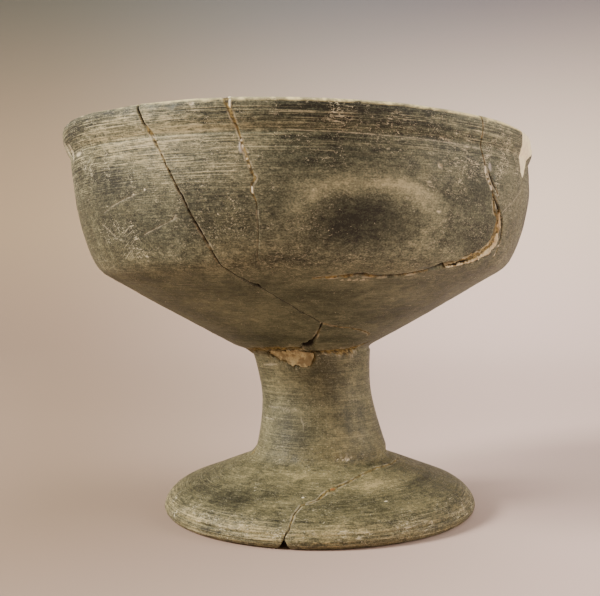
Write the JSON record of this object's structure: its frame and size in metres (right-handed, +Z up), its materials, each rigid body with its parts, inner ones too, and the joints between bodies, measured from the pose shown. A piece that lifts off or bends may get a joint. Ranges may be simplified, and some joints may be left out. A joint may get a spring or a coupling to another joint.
{
  "type": "pedestal bowl",
  "caption": "Grey pottery bowl with an upright wall, sharp shoulder and conical underside, on a short stem with a spreading disc foot; rejoined from sherds.",
  "frame": {"origin": "on the floor under the bowl's axis, in the middle of the rim's width", "axes": "+Z up, -Y the front with the long rejoined cracks, +X to the front's right, where the rim is filled"},
  "size_m": [0.16, 0.16, 0.1299],
  "materials": {
    "clay": "burnished, matt",
    "white_plaster": "matt",
    "tan_filler": "matt",
    "beige_filler": "matt"
  },
  "bodies": {
    "root": {"vessel": "clay", "rim_fill": "white_plaster", "crack_fill": "tan_filler", "stem_fill": "beige_filler"}
  },
  "joints": []
}
